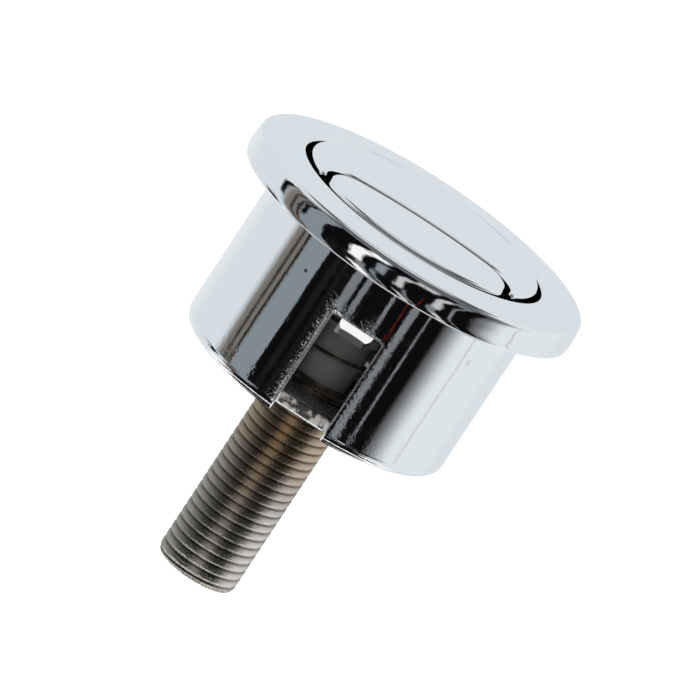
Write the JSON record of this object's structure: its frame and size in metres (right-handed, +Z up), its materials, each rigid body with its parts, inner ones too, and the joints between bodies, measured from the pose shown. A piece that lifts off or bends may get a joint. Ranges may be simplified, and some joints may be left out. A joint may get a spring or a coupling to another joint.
{
  "type": "push button cistern actuator",
  "caption": "Chrome push button actuator for a cistern lid: round flange, large and small flush buttons, slotted cup body with sprung plungers, and a threaded stud below.",
  "frame": {"origin": "centre of the flange's underside, on the axis of the cup and stud", "axes": "+Z up through the buttons, -Y towards the small button and the front slot"},
  "size_m": [0.078, 0.078, 0.0894],
  "materials": {
    "chrome_housing": "bright chrome plate, polished",
    "chrome_buttons": "bright chrome plate, polished",
    "nickel_stud": "nickel plate on brass",
    "grey_plastic": "dark grey moulded plastic",
    "spring_steel": "drawn spring wire"
  },
  "bodies": {
    "housing": {"housing": "chrome_housing", "threaded_stud": "nickel_stud", "full_flush_spring": "spring_steel"},
    "full_flush": {"full_flush_button": "chrome_buttons", "full_flush_plunger": "grey_plastic", "half_flush_spring": "spring_steel"},
    "half_flush": {"half_flush_button": "chrome_buttons", "half_flush_plunger": "grey_plastic"}
  },
  "joints": [
    {"name": "full_flush_press", "type": "slide", "parent": "housing", "child": "full_flush", "axis": [0, 0, -1], "range_m": [0, 0.007], "stiffness_N_per_m": 800, "springref_m": -0.01, "deforming": ["full_flush_spring"]},
    {"name": "half_flush_press", "type": "slide", "parent": "housing", "child": "half_flush", "axis": [0, 0, -1], "range_m": [0, 0.007], "stiffness_N_per_m": 500, "springref_m": -0.01, "deforming": ["half_flush_spring"]}
  ]
}
